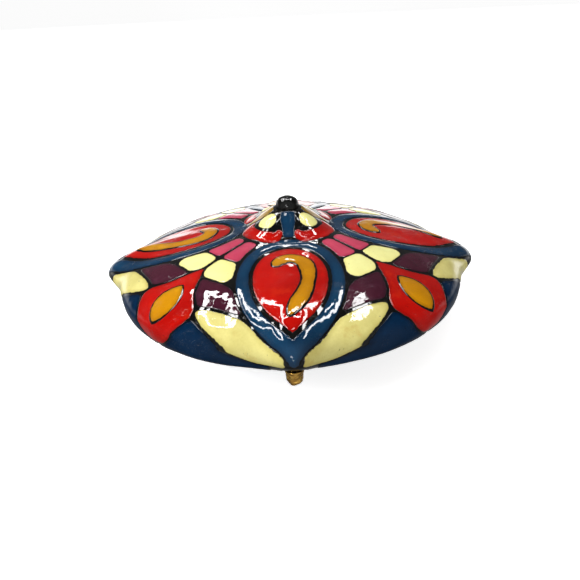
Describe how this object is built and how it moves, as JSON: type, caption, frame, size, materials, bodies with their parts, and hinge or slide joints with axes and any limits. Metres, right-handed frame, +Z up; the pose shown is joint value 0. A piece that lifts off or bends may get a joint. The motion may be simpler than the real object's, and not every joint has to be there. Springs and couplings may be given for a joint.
{
  "type": "hinged trinket box",
  "caption": "Small round-cushion box with pinched corner tips, a raised inlaid hinged lid with a bead knob, brass rims, rear hinge and front thumb clasp.",
  "frame": {"origin": "centre of the foot ring, on the surface that the box stands on", "axes": "+Z up through the knob, -Y to the front (clasp), +Y to the hinge, +X to the right seen from the front"},
  "size_m": [0.065, 0.065, 0.0239],
  "materials": {
    "black_ground": "black lacquer ground, clear-coated",
    "blue_inlay": "deep blue inlay, clear-coated",
    "navy_inlay": "navy inlay, clear-coated",
    "red_inlay": "red inlay, clear-coated",
    "ochre_inlay": "ochre inlay, clear-coated",
    "olive_inlay": "olive-ochre inlay, clear-coated",
    "cream_inlay": "pale cream inlay, clear-coated",
    "leaf_inlay": "yellowed cream inlay, clear-coated",
    "pink_inlay": "pink inlay, clear-coated",
    "purple_inlay": "plum inlay, clear-coated",
    "black_bead": "polished black bead",
    "brass": "polished, lightly aged",
    "navy_glaze": "gloss navy lacquer on spun copper",
    "cream_lining": "cream enamel",
    "green_felt": "wool felt"
  },
  "bodies": {
    "base": {"base_bowl": "navy_glaze", "base_rim": "brass", "base_lining": "cream_lining", "base_hinge_leaf": "brass", "catch_lug": "brass", "foot_pad": "green_felt"},
    "lid": {"lid_shell": "black_ground", "lid_rim": "brass", "lid_lining": "cream_lining", "lid_hinge_leaf": "brass", "hinge_pin": "brass", "clasp_thumb": "brass", "knob": "black_bead", "knob_pin": "brass", "knob_washer": "brass", "knob_nut": "brass", "petal_border_right": "blue_inlay", "petal_border_back": "blue_inlay", "petal_border_left": "blue_inlay", "petal_border_front": "blue_inlay", "petal_field_right": "red_inlay", "petal_field_back": "red_inlay", "petal_field_left": "red_inlay", "petal_field_front": "red_inlay", "petal_comma_right": "ochre_inlay", "petal_comma_back": "ochre_inlay", "petal_comma_left": "ochre_inlay", "petal_comma_front": "ochre_inlay", "red_drop_back_right": "red_inlay", "red_drop_back_left": "red_inlay", "red_drop_front_left": "red_inlay", "red_drop_front_right": "red_inlay", "drop_centre_back_right": "ochre_inlay", "drop_centre_back_left": "ochre_inlay", "drop_centre_front_left": "ochre_inlay", "drop_centre_front_right": "ochre_inlay", "cream_tiles": "cream_inlay", "pink_bars": "pink_inlay", "purple_panels": "purple_inlay", "cream_leaves": "leaf_inlay", "rim_panels": "navy_inlay", "boss_horseshoes": "red_inlay", "boss_ovals": "cream_inlay", "boss_stems": "blue_inlay", "boss_strips": "olive_inlay"}
  },
  "joints": [
    {"name": "lid_hinge", "type": "hinge", "parent": "base", "child": "lid", "pos_m": [0, 0.0295, 0.0068], "axis": [-1, 0, 0], "range_deg": [0, 95]}
  ]
}
